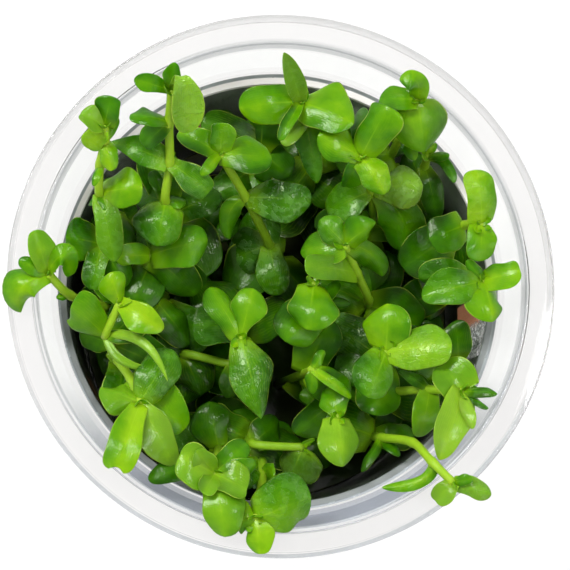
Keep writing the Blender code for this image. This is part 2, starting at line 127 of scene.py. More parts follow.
# Shades of the leaves from deep green to yellow-green, what lies over them as (shade, strength), and their
# unevenness as (size, spread, detail)
LEAF_GREENS = ((22, 53, 0), (36, 84, 0), (61, 114, 0), (88, 136, 2), (120, 158, 12))
LEAF_VEINS = ((160, 192, 50), 0.32)
LEAF_RIB = ((156, 190, 40), 0.2)
LEAF_FOOT = ((134, 178, 20), 0.4)
# A pale edge, partly the leaf's own margin and partly a painted rim highlight
LEAF_EDGE_AND_RIM_HIGHLIGHT = ((172, 202, 72), 0.7)
LEAF_UNDERSIDE = ((106, 148, 30), 0.35)
LEAF_PALE = ((140, 172, 52), 1.0)
# Wet spots are tinted pale as a painted sheen
LEAF_WET_SHEEN = ((150, 190, 130), 0.08)
LEAF_MOTTLE = (2.6, 0.46, 3.0)
LEAF_CLOUDS = (7.0, 0.5, 1.0)
VEIN_COUNT = 16.0

# The same for the stems
STEM_GREENS = ((44, 80, 2), (92, 138, 8), (140, 176, 30))
STEM_RIDGES = ((176, 204, 82), 0.2)
STEM_MOTTLE = (1.5, 0.3, 3.0)
STEM_RIDGE_COUNT = 12.0
STEM_TONE = 0.15
# Painted shade: the stems' tone rises from the gel to the rim, darker in the depth
STEM_PAINTED_SHADE_RISE = 0.75

# Lights as (name, place in metres, width, power), the point that they face, and the sky
LIGHTS = (
    ("key", (-0.68, 0.44, 1.04), 0.40, 14.0),
    ("fill", (0.90, -0.60, 1.00), 0.80, 4.5),
    ("glint_0", (-0.14, 0.28, 0.62), 0.14, 1.25),
    ("glint_1", (0.22, 0.04, 0.66), 0.14, 1.25),
)
LIGHT_AIM = Vector((0.0, 0.0, 0.05))
WHITE = (1.0, 1.0, 1.0, 1.0)
HORIZON = 0.9
ZENITH = 0.44
SKY_FADE = (0.1, 0.8)
FLOOR_SIZE = 4.0
FLOOR_SHADE = (0.1, 0.1, 0.1, 1.0)
FLOOR_GLOW = 0.93

# Stems
STEM_RADIUS = 0.95
STEM_TIP_SHARE = 0.8
STEM_SIDES = 14
STEM_STEP = 0.7
NODE_SWELL = 0.2
NODE_LENGTH = 0.9
BUD_LENGTH = 0.5
NO_LOOK = (0, 0, 0, 0)

# Leaves. The thickness at the tip is a share of that at the foot, and the ripples are in radians along or
# across the blade.
LEAST_FOOT = 1.4
LEAF_THICKNESS = 0.36
TIP_THICKNESS = 0.55
END_TAPER = 2.5
FOOT_STATIONS = 9
TIP_STATIONS = 9
LEAF_SIDES = 20
MIDRIB_GROOVE = 0.09
MIDRIB_WIDTH = 0.16
EDGE_RIPPLES = 9.0
FACE_RIPPLES = 7.0
RIPPLE_SLANT = 1.5
NOTCH_POWER = 8
TONE_SWAY = 0.08

# What chance draws for each leaf, in this order. Lean and twist are in degrees, foot and widest are shares of
# its width and length, and a higher blunt rounds its tip more.
GROWTH_RANGES = {
    "arch": (0.16, 0.42),
    "cup": (-0.5, 0.32),
    "fold": (1.0, 1.8),
    "curl": (-0.15, 0.15),
    "lean": (-20.0, 20.0),
    "twist": (-32.0, 32.0),
    "foot": (0.42, 0.72),
    "swell": (0.9, 1.3),
    "widest": (0.44, 0.60),
    "blunt": (1.8, 2.7),
    "skew": (-0.18, 0.18),
    "wave": (0.04, 0.10),
    # Painted shade: one half of a leaf lighter and the other darker
    "sided": (-0.22, 0.22),
    "phase": (0.0, math.tau),
}
GROWTH_CHOICES = {
    "veined": (0.0, 0.05, 0.1, 0.3),
    "edge": (0.1, 0.4, 1.0),
    "wet": (0.0, 0.0, 0.0, 0.4),
}

# Small leaves at the growing tip. Their tips and bends lie (along the stem, away from it).
CROWN_COUNT = 4
CROWN_SWAY = 15.0
CROWN_SHORT = (1.5, 2.2)
CROWN_LONG = (2.0, 3.0)
CROWN_TIP = (0.75, 0.8)
CROWN_BEND = (0.2, 0.7)
CROWN_BEND_SHARE = 0.6
CROWN_WIDTH_SHARE = 0.6
CROWN_TONE = 0.7
CROWN_LOOK = {"thick": 0.35, "cup": 0.25, "veined": 0.0}

# Lower leaves, which fill the dark depth of the cup. Their tone rises with their height, a painted shade that
# darkens the deeper ones.
FIRST_DROP = 4.5
DEEPER_DROP = 11.0
PAIR_SPACING = 6.0
SPACING_SWAY = (0.85, 1.15)
PAIR_SWAY = 0.3
LOWEST_PAIR = 22.0
LOWER_LENGTH = (8.0, 12.5)
LOWER_WIDTH_SHARE = (0.7, 0.95)
LOWER_RISE = (-0.15, 0.35)
LOWER_TONE = 0.10
LOWER_PAINTED_SHADE_RISE = 0.28
SHORTEST_LOWER = 3.0
LENGTH_STEP = 0.5
WALL_ROOM = 1.5

# Gaps between the shoots that open on the dark depth, as (x, y, radius) on the plane of the rim. Low leaves
# keep out of them.
HOLLOWS = (
    (-0.2, -14.0, 2.2),
    (-0.4, -20.0, 2.6),
    (1.2, -26.0, 2.2),
    (13.0, -36.0, 5.5),
    (22.0, -37.0, 5.0),
    (3.0, 7.8, 2.0),
    (29.0, 15.0, 3.5),
    (33.5, -2.0, 2.5),
    (32.4, -6.2, 2.5),
    (-34.0, -15.5, 3.0),
    (-23.0, 11.0, 3.5),
)
HOLLOW_MARGIN = 1.5
PROBED_SHARES = (0.3, 0.65, 1.0)

# The leaves' and nodes' places are read on the plane of the rim, as seen from this viewpoint, and are then
# moved along the line of sight to their own height.
VIEWPOINT = Vector((-33.0, -67.0, 515.0))
AIM = Vector((0.38, -0.58, 65.0))
SENSOR_WIDTH = 36.0
FOCAL_LENGTH = 158.3


def leaf(node, x, y, z, width, tone, over=None, via=None, **shape):
    """A leaf from a stem's node to a tip read at x, y and standing at height z. Its tone runs from 0, deep
    green, to 1, yellow-green, and is given lower for leaves deep in the cup as painted shade. A leaf that
    arches over has its highest bend at over, and one that bends sideways has its bend at via. What shape
    doesn't name is left to chance, as any_shape says."""
    return {
        "node": node, "tip": (x, y, z), "width": width, "tone": tone, "over": over, "via": via,
        "shape": shape,
    }


SHOOTS = {}


def shoot(name, root, nodes, *leaves, bare=False):
    """One stem: where it stands on the gel, its nodes from the lowest up, and its leaves. A bare one has its
    first hidden pair of leaves lower down."""
    SHOOTS[f"shoot_{name}"] = {"root": root, "nodes": nodes, "leaves": leaves, "bare": bare}


shoot(
    "west_rim", (-22.0, -3.0), [(-33.0, -4.4, 53.0), (-38.7, -2.4, 65.5), (-42.6, 1.5, 70.0)],
    leaf(2, -45.2, 9.4, 76.0, 4.8, 0.7, cup=0.25, pale=0.15),
    leaf(2, -38.4, 1.2, 70.0, 4.4, 0.5, via=(-39.6, 8.0, 80.0), cup=0.2),
    leaf(2, -47.9, 3.9, 72.0, 2.9, 0.6),
    leaf(2, -47.4, -5.6, 66.0, 6.8, 0.65, via=(-50.0, -0.5, 74.0), blunt=1.5, widest=0.5),
    leaf(1, -41.1, -2.9, 66.5, 1.6, 0.5),
)
shoot(
    "northwest_outer", (-22.0, 14.0),
    [(-33.2, 16.2, 65.0), (-33.2, 21.5, 69.5), (-32.3, 26.1, 73.0), (-32.4, 28.8, 75.5)],
    leaf(3, -36.8, 31.0, 78.0, 4.4, 0.5, pale=0.3, blunt=2.4),
    leaf(3, -31.1, 34.4, 80.0, 4.8, 0.35, blunt=2.4, foot=0.8),
    leaf(2, -30.0, 30.6, 74.0, 2.1, 0.5),
    leaf(3, -35.4, 24.6, 72.0, 4.2, 0.85, blunt=2.8),
    leaf(2, -31.2, 20.4, 72.0, 3.4, 0.7, foot=0.8),
    leaf(1, -34.4, 17.6, 70.5, 1.6, 0.5),
    leaf(0, -25.4, 17.4, 69.0, 7.2, 0.65, blunt=2.8, cup=-0.3, widest=0.55),
    leaf(0, -31.6, 13.4, 66.0, 2.6, 0.4),
    leaf(0, -30.6, 3.7, 63.0, 5.4, 0.45, blunt=1.7, cup=0.25, foot=0.45, pale=0.1, wet=0.3, edge=1.0),
)
shoot(
    "northwest_tall", (-13.5, 15.0),
    [(-21.3, 14.8, 63.0), (-20.5, 22.0, 70.0), (-20.6, 29.5, 77.0), (-20.1, 35.4, 82.0)],
    leaf(3, -19.6, 40.8, 86.0, 3.2, 0.4),
    leaf(3, -17.2, 27.7, 80.0, 5.8, 0.52, over=(-17.4, 43.6, 95.0), cup=-0.3, foot=0.1, swell=4.5,
         widest=0.8, blunt=2.2, pale=0.25, veined=0.7, wet=0.6, wave=0.06, lean=-14.0, twist=0.0, skew=0.0,
         sided=0.18, edge=1.0),
    leaf(3, -27.0, 37.4, 84.0, 3.6, 0.4, foot=0.3, swell=1.8, widest=0.62),
    leaf(2, -27.7, 30.9, 80.0, 4.3, 0.5, foot=0.4, widest=0.6),
    leaf(2, -25.2, 25.1, 73.0, 4.0, 0.4),
    leaf(1, -31.4, 25.8, 68.2, 5.4, 0.5, foot=0.75, widest=0.3, blunt=1.4),
    leaf(1, -13.5, 16.4, 67.0, 5.2, 0.45, widest=0.7, blunt=3.0, foot=0.5, cup=0.2),
    leaf(0, -17.6, 15.0, 62.0, 3.0, 0.4),
    leaf(0, -23.8, 20.4, 63.5, 2.6, 0.3),
    leaf(0, -26.4, 16.2, 59.0, 5.6, 0.28),
    leaf(0, -22.9, 6.5, 63.0, 9.2, 0.46, cup=-0.5, fold=2.0, blunt=3.0, widest=0.5, foot=0.8, swell=0.7,
         wet=0.4, wave=0.02, twist=0.0, lean=0.0, curl=0.0),
)
shoot(
    "north_northwest", (2.0, 9.0), [(-2.4, 6.8, 47.0), (-6.6, 15.5, 58.0), (-11.3, 23.6, 67.0)],
    leaf(2, -10.9, 29.5, 71.0, 4.8, 0.65, blunt=2.7, foot=0.6),
    leaf(2, -1.8, 22.8, 67.5, 7.8, 0.58, blunt=2.3, widest=0.55, foot=0.5, cup=-0.15),
    leaf(2, -18.9, 27.7, 66.5, 4.8, 0.45, foot=0.8, widest=0.3),
    leaf(2, -14.8, 19.6, 70.0, 2.2, 0.75),
    leaf(1, 5.3, 14.6, 60.0, 8.0, 0.35, blunt=2.4, wet=1.0, cup=-0.2, veined=0.0),
    leaf(1, -9.6, 7.9, 53.0, 3.8, 0.45, via=(-11.0, 14.2, 58.0)),
    leaf(0, -9.8, 3.9, 44.0, 8.8, 0.25, wet=0.9),
    leaf(0, -0.9, -2.5, 46.0, 6.4, 0.3, wet=0.6),
)
shoot(
    "north", (7.0, 21.0), [(5.6, 23.5, 50.0), (4.4, 30.0, 63.0), (3.6, 33.4, 67.5)],
    leaf(2, -7.7, 32.1, 69.0, 7.6, 0.62, blunt=2.3, cup=-0.25, widest=0.52),
    leaf(2, 0.6, 42.8, 79.0, 3.9, 0.45, via=(2.6, 38.0, 74.0), cup=0.35, fold=1.1, blunt=1.6, widest=0.42,
         foot=0.5, pale=0.3, twist=0.0, lean=0.0, wave=0.02),
    leaf(2, 13.4, 29.4, 70.5, 10.4, 0.6, blunt=1.6, widest=0.42, foot=0.45, cup=-0.25, fold=1.2, twist=0.0,
         lean=-6.0, skew=-0.28, edge=1.0),
    leaf(2, -0.4, 26.3, 70.5, 2.4, 0.55, cup=0.4),
    leaf(1, 0.2, 25.4, 64.5, 3.4, 0.5, pale=0.3),
    leaf(1, 6.4, 18.2, 58.0, 5.2, 0.35, foot=0.8, widest=0.3, blunt=1.6),
)
shoot(
    "north_back", (-6.0, 22.0), [(-3.8, 24.2, 49.0)],
    leaf(0, -14.5, 30.0, 53.0, 6.4, 0.2),
    leaf(0, 1.4, 19.4, 48.0, 8.4, 0.2),
    leaf(0, -3.4, 31.4, 53.0, 7.2, 0.2),
)
shoot(
    "north_northeast", (16.5, 14.5), [(16.5, 11.0, 48.0), (16.4, 16.9, 58.0), (14.6, 23.2, 66.0)],
    leaf(2, 6.7, 27.2, 68.0, 6.6, 0.58, blunt=2.2, cup=-0.35),
    leaf(2, 18.9, 16.2, 66.0, 5.6, 0.72, wet=0.4, cup=-0.35),
    leaf(2, 11.8, 17.6, 61.5, 4.4, 0.35, cup=0.4),
    leaf(2, 14.6, 32.2, 62.5, 4.2, 0.4),
    leaf(2, 19.8, 32.8, 73.0, 7.2, 0.62, blunt=4.0, widest=0.62, foot=0.6, skew=0.1, edge=1.0),
    leaf(1, 26.0, 18.0, 61.0, 8.4, 0.4, blunt=2.4, cup=-0.4, fold=2.0, wet=1.0, pale=0.3, foot=0.25,
         widest=0.6),
    leaf(1, 22.6, 5.4, 51.0, 8.4, 0.45, via=(24.0, 13.5, 55.0), blunt=2.8, widest=0.6, foot=0.3),
    leaf(1, 8.3, 12.8, 54.0, 7.2, 0.45, foot=0.25, widest=0.62, cup=0.3),
    leaf(0, 15.0, 11.6, 55.0, 3.4, 0.5),
)
shoot(
    "northeast_rim", (20.0, 22.0), [(22.4, 27.8, 60.0), (25.2, 34.0, 72.0)],
    leaf(1, 22.0, 37.8, 77.0, 4.6, 0.65, via=(26.8, 39.0, 80.0)),
    leaf(1, 26.1, 24.1, 66.5, 11.2, 0.5, cup=-0.5, fold=2.0, blunt=2.0, widest=0.5, foot=0.6, twist=0.0,
         lean=0.0, curl=0.0, skew=0.0, swell=0.8, wave=0.02, sided=0.2, pale=0.1),
    leaf(1, 18.2, 34.0, 71.0, 5.2, 0.5, foot=0.8),
    leaf(0, 24.6, 22.6, 60.5, 3.0, 0.5),
)
shoot(
    "northeast_wall", (25.0, 16.5), [(26.3, 21.4, 54.0), (27.0, 23.4, 58.0)],
    leaf(1, 31.8, 18.4, 60.0, 2.2, 0.25, via=(31.0, 23.0, 60.5)),
    leaf(1, 31.0, 23.4, 62.5, 1.9, 0.3),
    leaf(0, 28.4, 11.7, 50.0, 4.6, 0.2),
)
shoot(
    "east_upper", (28.5, 9.0), [(33.5, 10.5, 60.0), (36.7, 10.7, 70.0)],
    leaf(1, 35.8, 20.9, 74.0, 6.0, 0.85, blunt=3.4, foot=0.8, widest=0.45, cup=-0.15, veined=0.0, twist=0.0),
    leaf(1, 36.2, 3.8, 70.0, 6.0, 0.62, blunt=2.6, foot=0.7),
    leaf(0, 27.0, 7.8, 61.0, 7.2, 0.35, blunt=3.4, foot=0.8),
)
shoot(
    "east_rim", (28.5, 1.0), [(34.6, 0.6, 57.0), (36.8, 0.1, 65.0)],
    leaf(1, 43.7, 2.1, 69.0, 5.2, 0.72, blunt=2.9, cup=0.25),
    leaf(1, 25.4, -2.8, 64.5, 6.8, 0.42, foot=0.35, widest=0.5, wet=0.4),
    leaf(1, 38.4, -7.4, 67.0, 7.4, 0.6, blunt=1.9, skew=0.25),
    leaf(1, 33.7, 3.9, 66.8, 2.2, 0.5),
    leaf(0, 24.9, 0.6, 56.0, 6.0, 0.3),
)
shoot(
    "east_wall", (27.0, -9.0), [(31.8, -14.6, 49.0)],
    leaf(0, 31.4, -7.2, 53.0, 5.4, 0.25),
    leaf(0, 27.0, -9.6, 51.0, 4.4, 0.2),
)
shoot(
    "centre_east", (19.0, -1.0), [(15.6, -3.4, 47.0), (13.6, 1.6, 55.0), (11.4, 6.9, 61.0)],
    leaf(2, 3.3, 5.6, 57.5, 7.0, 0.45, foot=0.7, blunt=1.5, cup=0.2),
    leaf(2, 6.8, 11.4, 62.0, 5.2, 0.5, foot=0.8),
    leaf(2, 17.2, 11.0, 63.0, 5.6, 0.5, foot=0.8, blunt=1.5),
    leaf(2, 18.2, 1.0, 53.0, 5.0, 0.42, via=(17.5, 6.5, 58.0), foot=0.5),
    leaf(1, 4.0, 2.9, 66.5, 4.9, 0.66, blunt=3.4, widest=0.5, foot=0.7, pale=0.12, twist=0.0, lean=0.0),
)
shoot(
    "centre", (10.0, -9.5), [(7.0, -11.5, 45.0), (6.0, -4.0, 56.0), (5.6, -0.3, 61.0)],
    leaf(2, 4.2, -8.8, 63.5, 9.2, 0.55, foot=0.6, blunt=2.3, cup=-0.35),
    leaf(1, 0.2, -10.9, 59.5, 9.2, 0.5, blunt=2.5),
    leaf(1, 12.5, -4.0, 53.5, 2.4, 0.3),
    leaf(1, 10.4, 0.0, 52.0, 2.6, 0.3),
)
shoot(
    "centre_west", (-7.0, -5.5), [(-7.2, -8.4, 50.0), (-7.8, -10.3, 60.5)],
    leaf(1, -13.4, -1.0, 59.0, 5.8, 0.5, blunt=2.2, widest=0.6),
    leaf(0, -16.4, -8.0, 52.0, 8.4, 0.28, blunt=3.0, foot=0.6, wet=0.3),
    leaf(1, -4.2, -25.0, 60.5, 8.4, 0.35, cup=-0.3, blunt=1.3, widest=0.42, foot=0.45, veined=0.35, wet=0.4,
         twist=0.0),
    leaf(1, -5.5, -1.2, 62.0, 6.6, 0.62, foot=0.25, swell=2.2, widest=0.64),
)
shoot(
    "east_centre", (17.0, -12.5), [(18.0, -14.5, 50.0), (18.6, -12.8, 61.0)],
    leaf(1, 19.0, -4.0, 63.0, 9.2, 0.62, blunt=2.1, widest=0.5, foot=0.7, swell=0.8, wave=0.02, cup=-0.3),
    leaf(1, 30.8, -11.6, 66.5, 8.4, 0.72, veined=0.35, pale=0.12, widest=0.52, blunt=2.3, foot=0.5),
    leaf(1, 15.2, -21.2, 63.5, 8.2, 0.45, wet=0.4, blunt=2.5),
    leaf(0, 16.2, -24.4, 56.5, 8.8, 0.5, blunt=2.6),
    leaf(0, 7.8, -7.2, 46.5, 8.4, 0.25, wet=0.9),
    leaf(0, 9.2, -15.6, 49.0, 8.4, 0.3, wet=0.4),
)
shoot(
    "southeast", (19.0, -19.0), [(19.5, -20.3, 51.5), (26.4, -19.8, 58.5), (32.6, -20.2, 64.0)],
    leaf(1, 24.5, -28.4, 58.0, 5.6, 0.52, pale=0.1),
    leaf(1, 21.0, -16.4, 58.0, 2.6, 0.4),
    leaf(2, 28.0, -32.6, 65.6, 6.8, 0.55, pale=0.4, blunt=1.5, widest=0.5, veined=0.5),
    leaf(2, 34.2, -27.0, 67.5, 2.6, 0.5, pale=0.5),
    leaf(2, 28.8, -15.0, 63.5, 8.0, 0.55, cup=0.3, blunt=2.1, foot=0.8, swell=0.7, wave=0.02, skew=0.0,
         pale=0.15, edge=1.0),
    leaf(2, 38.9, -20.6, 68.0, 2.4, 0.3),
    leaf(2, 37.2, -23.3, 67.0, 1.7, 0.2),
)
shoot(
    "southeast_rim", (15.0, -22.5),
    [(17.6, -28.5, 53.0), (23.2, -29.4, 62.0), (26.8, -33.0, 69.2), (30.4, -36.7, 70.5)],
    leaf(2, 17.5, -37.5, 66.8, 2.4, 0.65, via=(27.6, -36.9, 68.4)),
    leaf(3, 27.1, -39.9, 69.0, 4.0, 0.4, pale=0.35, cup=0.3),
    leaf(3, 34.1, -36.1, 72.5, 2.1, 0.5),
    leaf(3, 37.4, -38.9, 70.5, 3.8, 0.4, pale=0.3),
    leaf(0, 13.8, -34.6, 55.5, 2.1, 0.2),
    leaf(0, 20.9, -31.8, 56.5, 2.3, 0.35),
)
shoot(
    "south_centre", (8.0, -20.0), [(9.0, -22.0, 49.0), (9.6, -24.6, 60.0)],
    leaf(1, 10.5, -33.7, 61.0, 8.4, 0.6, pale=0.2, blunt=1.7, widest=0.5, foot=0.6, sided=0.2, cup=-0.3,
         fold=1.1, wave=0.03),
    leaf(1, 8.6, -19.2, 58.5, 5.4, 0.5, foot=0.4),
    leaf(0, 1.8, -27.6, 53.5, 7.2, 0.4),
    leaf(0, 2.8, -20.6, 49.5, 4.2, 0.3),
    bare=True,
)
shoot(
    "south_inner", (2.5, -13.5), [(5.2, -16.1, 61.0)],
    leaf(0, 7.4, -12.6, 61.5, 2.0, 0.6),
    leaf(0, 12.2, -21.2, 62.0, 2.6, 0.65),
    leaf(0, 4.9, -20.4, 59.0, 2.6, 0.5),
)
shoot(
    "south_southwest", (-9.0, -22.5), [(-12.2, -32.0, 58.0), (-12.7, -34.9, 66.5)],
    leaf(1, -19.0, -31.6, 69.5, 7.6, 0.56, pale=0.2, cup=0.2, blunt=2.6, edge=1.0),
    leaf(1, -6.9, -37.8, 68.5, 7.0, 0.6, pale=0.2, cup=0.3, blunt=2.8, edge=1.0),
    leaf(1, -10.9, -46.2, 68.0, 7.4, 0.6, pale=0.12, foot=0.7),
    leaf(1, -6.8, -29.3, 66.0, 4.6, 0.5, edge=1.0),
    leaf(1, -5.2, -33.2, 67.5, 4.0, 0.5, edge=1.0),
    leaf(1, -15.9, -30.6, 70.5, 4.2, 0.6, edge=1.0, pale=0.2, cup=0.3),
    leaf(1, -14.8, -38.4, 70.0, 3.8, 0.62, edge=1.0, pale=0.2, cup=0.3),
    leaf(0, -24.6, -35.8, 64.5, 4.6, 0.4),
    bare=True,
)
shoot(
    "south_rim", (-1.5, -25.0), [(-4.0, -35.0, 57.0), (-5.3, -42.9, 67.2)],
    leaf(1, 4.7, -39.1, 69.0, 10.8, 0.65, wet=0.5, blunt=2.9, foot=0.55, cup=-0.3),
    leaf(1, -9.7, -42.4, 66.8, 5.8, 0.7),
    leaf(1, -4.7, -49.3, 67.0, 5.2, 0.8, blunt=2.7),
    leaf(0, -5.8, -36.6, 62.0, 3.7, 0.5),
    leaf(0, -1.8, -34.0, 61.0, 3.8, 0.5),
    bare=True,
)
shoot(
    "south_back", (-2.0, -19.0), [(-5.8, -29.4, 50.0), (3.3, -30.2, 52.5)],
    leaf(1, 0.6, -36.2, 49.5, 8.8, 0.2, pale=0.1, wet=0.3),
    leaf(0, -1.0, -25.4, 47.0, 6.4, 0.2),
)
shoot(
    "southwest", (-20.0, -14.0), [(-30.0, -14.3, 57.0), (-27.7, -17.6, 61.5), (-26.0, -22.0, 66.0)],
    leaf(2, -33.1, -19.2, 67.0, 6.6, 0.66, pale=0.15),
    leaf(2, -30.2, -34.0, 70.0, 6.2, 0.82, widest=0.74, blunt=3.6, foot=0.5, twist=0.0, lean=0.0, notch=0.7),
    leaf(2, -19.9, -33.4, 64.5, 6.6, 0.5, pale=0.35, blunt=1.7, lean=0.0, foot=0.4),
    leaf(1, -18.2, -27.0, 62.0, 7.6, 0.6),
    leaf(2, -20.0, -12.4, 65.0, 7.4, 0.36, wet=0.5, blunt=2.5, foot=0.5, cup=-0.35, widest=0.55, twist=0.0,
         lean=0.0),
)
shoot(
    "west_edge", (-24.0, -8.5), [(-32.2, -9.8, 64.0), (-29.6, -4.0, 68.0)],
    leaf(0, -38.4, -4.4, 70.5, 8.6, 0.6, blunt=3.8, widest=0.72, foot=0.25),
    leaf(1, -31.4, 1.7, 71.0, 5.0, 0.85, blunt=3.4, foot=0.4, widest=0.6),
    leaf(1, -21.9, -8.9, 70.0, 5.2, 0.92, blunt=1.9, foot=0.5, widest=0.5, twist=0.0),
    leaf(0, -21.0, -18.2, 70.0, 1.9, 0.7, pale=0.4, via=(-24.6, -8.0, 71.0), foot=0.9, blunt=1.4),
    leaf(0, -26.2, -10.3, 66.0, 2.5, 0.5),
    leaf(0, -24.9, -15.6, 66.0, 1.7, 0.65, pale=0.3, via=(-30.6, -15.4, 66.0), foot=0.9),
)
shoot(
    "west_back", (-27.0, 6.0), [(-33.0, 6.9, 57.5)],
    leaf(0, -39.4, 8.2, 62.0, 8.0, 0.35, blunt=2.5),
    leaf(0, -34.6, -1.4, 58.0, 4.4, 0.45),
    leaf(0, -28.6, -1.0, 55.0, 6.0, 0.2),
)
shoot(
    "northwest_inner", (-18.5, 7.0), [(-24.2, 4.8, 56.0)],
    leaf(0, -13.6, 7.6, 58.0, 8.2, 0.45, blunt=2.4, cup=-0.2),
    leaf(0, -30.4, 4.4, 59.5, 4.2, 0.7),
    leaf(0, -15.8, -2.4, 50.0, 7.0, 0.25),
    leaf(0, -25.6, 11.6, 53.0, 5.4, 0.3),
)
shoot(
    "west_inner", (-15.0, -8.0), [(-23.2, -3.4, 51.0)],
    leaf(0, -17.0, -11.4, 48.0, 7.4, 0.2),
    leaf(0, -28.4, -6.4, 53.0, 5.0, 0.25),
)
shoot(
    "south_low", (-12.0, -13.0), [(-18.0, -13.2, 46.5), (-9.4, -15.2, 49.0)],
    leaf(1, -10.0, -21.2, 47.0, 4.2, 0.2),
    leaf(0, -15.2, -20.6, 45.0, 7.8, 0.25),
)


def seen_at(x, y, z):
    """The point at height z that the viewpoint sees at x, y on the plane of the rim."""
    on_rim = Vector((x, y, CUP_HEIGHT))
    return VIEWPOINT + (on_rim - VIEWPOINT) * ((VIEWPOINT.z - z) / (VIEWPOINT.z - CUP_HEIGHT))


def height_share(height):
    """0 at the gel's top and below, 1 at the rim and above."""
    return min(max((height - GEL_TOP) / (CUP_HEIGHT - GEL_TOP), 0.0), 1.0)


def on_rim_plane(point):
    """Where the viewpoint sees a point against the plane of the rim."""
    return VIEWPOINT + (point - VIEWPOINT) * ((VIEWPOINT.z - CUP_HEIGHT) / (VIEWPOINT.z - point.z))


def body_radius(height):
    """The inner radius of the lower body at a height."""
    share = (height - WALL) / (SHOULDER_HEIGHT - WALL)
    return BODY_FOOT_RADIUS + (BODY_TOP_RADIUS - BODY_FOOT_RADIUS) * share


def colour(*display):
    """A display colour of 0 to 255 as linear values."""
    return (*Color([value / 255 for value in display]).from_srgb_to_scene_linear(), 1.0)


class Shader:
    """A Principled material whose inputs are fed by short chains of nodes."""

    def __init__(self, name):
        self.material = bpy.data.materials.new(name)
        self.material.use_nodes = True
        self.nodes = self.material.node_tree.nodes
        self.links = self.material.node_tree.links
        self.principled = self.nodes["Principled BSDF"]

    def feed(self, socket, value):
        if isinstance(value, bpy.types.NodeSocket):
            self.links.new(value, socket)
        else:
            socket.default_value = value

    def set(self, **values):
        for name, value in values.items():
            self.feed(self.principled.inputs[name.replace("_", " ")], value)

    def math(self, operation, first, second=0.0, third=0.0, clamp=False):
        node = self.nodes.new("ShaderNodeMath")
        node.operation = operation
        node.use_clamp = clamp
        for socket, value in zip(node.inputs, (first, second, third)):
            self.feed(socket, value)
        return node.outputs[0]

    def times(self, first, *others):
        for value in others:
            first = self.math("MULTIPLY", first, value)
        return first

    def step(self, value, low, high):
        """0 below low, 1 above high, and smooth between them."""
        node = self.nodes.new("ShaderNodeMapRange")
        node.interpolation_type = "SMOOTHSTEP"
        self.feed(node.inputs["Value"], value)
        self.feed(node.inputs["From Min"], low)
        self.feed(node.inputs["From Max"], high)
        return node.outputs["Result"]

    def between(self, value, low, high, fade):
        """1 from low to high, fading to 0 outside them."""
        return self.times(self.step(value, low - fade, low), self.step(value, high + fade, high))

    def mix(self, share, first, second):
        """From first to second, each a display colour or the output of a node."""
        node = self.nodes.new("ShaderNodeMix")
        node.data_type = "RGBA"
        self.feed(node.inputs[0], share)
        for socket, shade in zip(node.inputs[6:8], (first, second)):
            self.feed(socket, colour(*shade) if isinstance(shade, tuple) else shade)
        return node.outputs[2]

    def lay(self, below, layer, *masks):
        """A layer of (shade, strength) over what is below, where every mask is 1."""
        shade, strength = layer
        return self.mix(self.times(*masks, strength), below, shade)

    def ramp(self, value, shades):
        """Evenly spaced shades for values from 0 to 1."""
        node = self.nodes.new("ShaderNodeValToRGB")
        elements = node.color_ramp.elements
        while len(elements) < len(shades):
            elements.new(0.5)
        for number, shade in enumerate(shades):
            elements[number].position = number / (len(shades) - 1)
            elements[number].color = colour(*shade)
        self.feed(node.inputs[0], value)
        return node.outputs["Color"]

    def attribute(self, name):
        """The three numbers of a colour attribute, and its fourth."""
        node = self.nodes.new("ShaderNodeAttribute")
        node.attribute_name = name
        parts = self.nodes.new("ShaderNodeSeparateColor")
        self.links.new(node.outputs["Color"], parts.inputs[0])
        return (*parts.outputs, node.outputs["Alpha"])

    def where(self):
        return self.nodes.new("ShaderNodeTexCoord").outputs["Object"]

    def round_cup(self):
        """Degrees round the axis, then in millimetres the distance from it, the way back and the height."""
        place = self.nodes.new("ShaderNodeSeparateXYZ")
        self.links.new(self.where(), place.inputs[0])
        across, back, height = place.outputs
        squares = self.math("MULTIPLY_ADD", across, across, self.math("MULTIPLY", back, back))
        angle = self.math("DEGREES", self.math("ARCTAN2", back, across))
        lengths = (self.math("SQRT", squares), back, height)
        return (angle, *(self.math("DIVIDE", length, MM) for length in lengths))

    def texture(self, kind, size):
        """A texture with features of about size millimetres, fixed to the piece."""
        node = self.nodes.new(kind)
        node.inputs["Scale"].default_value = 1.0 / (size * MM)
        self.links.new(self.where(), node.inputs["Vector"])
        return node

    def noise(self, size, detail=2.0):
        node = self.texture("ShaderNodeTexNoise", size)
        node.inputs["Detail"].default_value = detail
        return node.outputs["Fac"]

    def cells(self, size):
        return self.texture("ShaderNodeTexVoronoi", size).outputs["Distance"]

    def unevenness(self, size, spread, detail):
        """Noise about 0."""
        return self.math("MULTIPLY_ADD", self.noise(size, detail), spread, -spread / 2)

    def bump(self, height, strength, depth, below=None):
        node = self.nodes.new("ShaderNodeBump")
        node.inputs["Strength"].default_value = strength
        node.inputs["Distance"].default_value = depth * MM
        self.feed(node.inputs["Height"], height)
        if below is not None:
            self.links.new(below, node.inputs["Normal"])
        return node.outputs["Normal"]


